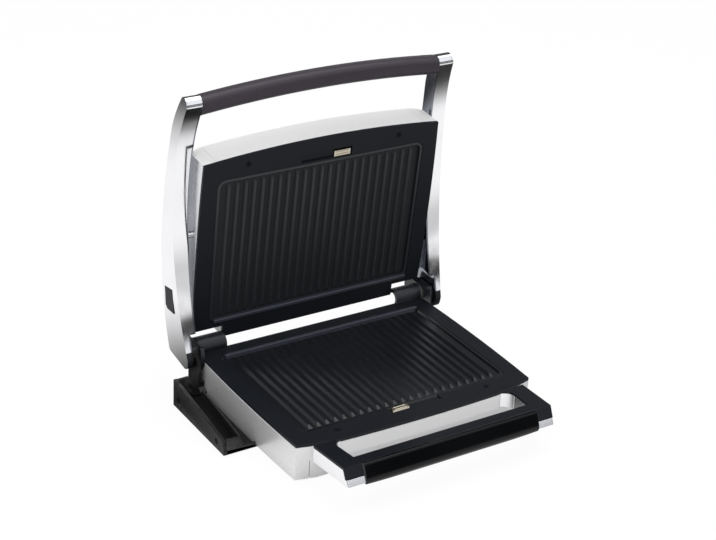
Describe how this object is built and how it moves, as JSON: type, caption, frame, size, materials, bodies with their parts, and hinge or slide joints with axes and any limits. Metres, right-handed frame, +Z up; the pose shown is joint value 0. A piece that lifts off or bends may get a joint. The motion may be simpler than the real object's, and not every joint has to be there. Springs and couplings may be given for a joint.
{
  "type": "contact grill",
  "caption": "Countertop contact grill with ribbed plates, bowed carrying arms, an arched top grip, a front handle and a floating lid that closes or opens flat.",
  "frame": {"origin": "on the counter, below the middle of the bounding box", "axes": "+Z up, +Y to the back where the hinge is, the front handle is toward -Y, X runs across along the hinge axis"},
  "size_m": [0.4227, 0.3907, 0.4103],
  "materials": {
    "black_tray": "fine grain",
    "silver_panel": "satin",
    "rim_black": "satin heat-proof",
    "nonstick_coating": "dark non-stick coating on cast aluminium",
    "pan_aluminium": "plain pressed",
    "element_sheath": "dark sheath",
    "bracket_steel": "plain",
    "thermostat_metal": "plain",
    "latch_metal": "warm satin",
    "terminal_ceramic": "glazed",
    "gland_rubber": "matte",
    "handle_silver": "satin",
    "cover_black": "satin",
    "gloss_black": "polished",
    "stand_black": "satin",
    "hub_black": "satin",
    "bright_steel": "bright",
    "foot_rubber": "matte",
    "dark_screw": "blackened",
    "arm_chrome": "polished",
    "arm_inner_chrome": "polished",
    "cap_silver": "satin",
    "grip_black": "soft satin",
    "button_black": "satin",
    "lid_silver": "pearl silver"
  },
  "bodies": {
    "base": {"base_tray": "black_tray", "front_panel": "silver_panel", "side_panel_left": "silver_panel", "side_panel_right": "silver_panel", "lower_rim": "rim_black", "lower_reflector": "pan_aluminium", "lower_element": "element_sheath", "lower_clips": "bracket_steel", "lower_thermostat": "thermostat_metal", "terminal_block": "terminal_ceramic", "cord_gland": "gland_rubber", "handle_frame": "handle_silver", "handle_covers": "cover_black", "front_grip": "gloss_black", "side_stand": "stand_black", "hinge_hoods": "rim_black", "hinge_hubs": "hub_black", "hinge_pins": "bright_steel", "hinge_spacer": "hub_black", "hinge_washers": "bright_steel", "lock_cam": "bright_steel", "feet": "foot_rubber", "rim_screws": "dark_screw", "base_screws": "bright_steel", "stand_screws": "dark_screw"},
    "lower_plate_body": {"lower_plate": "nonstick_coating"},
    "lower_latch_body": {"lower_latch": "latch_metal"},
    "arms": {"arm_left": "arm_chrome", "arm_right": "arm_chrome", "arm_cover_left": "arm_inner_chrome", "arm_cover_right": "arm_inner_chrome", "corner_caps": "cap_silver", "top_grip": "grip_black", "grip_core": "bright_steel", "cap_screws": "bright_steel", "pivot_pins": "bright_steel"},
    "button_body": {"lock_button": "button_black"},
    "bar_body": {"lock_bar": "bright_steel"},
    "lid": {"lid_shell": "lid_silver", "lid_end_left": "lid_silver", "lid_end_right": "lid_silver", "lid_rim": "rim_black", "lid_screws": "dark_screw", "upper_reflector": "pan_aluminium", "upper_element": "element_sheath", "upper_clips": "bracket_steel", "upper_thermostat": "thermostat_metal", "stop_pin": "bright_steel"},
    "upper_plate_body": {"upper_plate": "nonstick_coating"},
    "upper_latch_body": {"upper_latch": "latch_metal"}
  },
  "joints": [
    {"name": "handle_hinge", "type": "hinge", "parent": "base", "child": "arms", "pos_m": [0.00965, 0.14797, 0.054], "axis": [-1, 0, 0], "range_deg": [-84.66, 95.3]},
    {"name": "lid_float", "type": "hinge", "parent": "arms", "child": "lid", "pos_m": [0.00965, 0.15785, 0.2116], "axis": [-1, 0, 0], "range_deg": [-2.5, 2.5]},
    {"name": "lower_plate_lift", "type": "slide", "parent": "base", "child": "lower_plate_body", "axis": [0, 0, 1], "range_m": [0, 0.05]},
    {"name": "upper_plate_lift", "type": "slide", "parent": "lid", "child": "upper_plate_body", "axis": [0, -0.9957, -0.0931], "range_m": [0, 0.05]},
    {"name": "lower_latch_slide", "type": "slide", "parent": "base", "child": "lower_latch_body", "axis": [0, -1, 0], "range_m": [0, 0.0025], "stiffness_N_per_m": 400, "springref_m": -0.001},
    {"name": "upper_latch_slide", "type": "slide", "parent": "lid", "child": "upper_latch_body", "axis": [0, -0.0931, 0.9957], "range_m": [0, 0.0025], "stiffness_N_per_m": 400, "springref_m": -0.001},
    {"name": "lock_button_press", "type": "slide", "parent": "arms", "child": "button_body", "axis": [1, 0, 0], "range_m": [0, 0.002], "stiffness_N_per_m": 600, "springref_m": -0.0012},
    {"name": "lock_bar_slide", "type": "slide", "parent": "arms", "child": "bar_body", "axis": [0, -0.0931, 0.9957], "range_m": [0, 0.002]}
  ],
  "couplings": [
    {"joint": "lock_bar_slide", "follows": "lock_button_press", "ratio": 1}
  ]
}
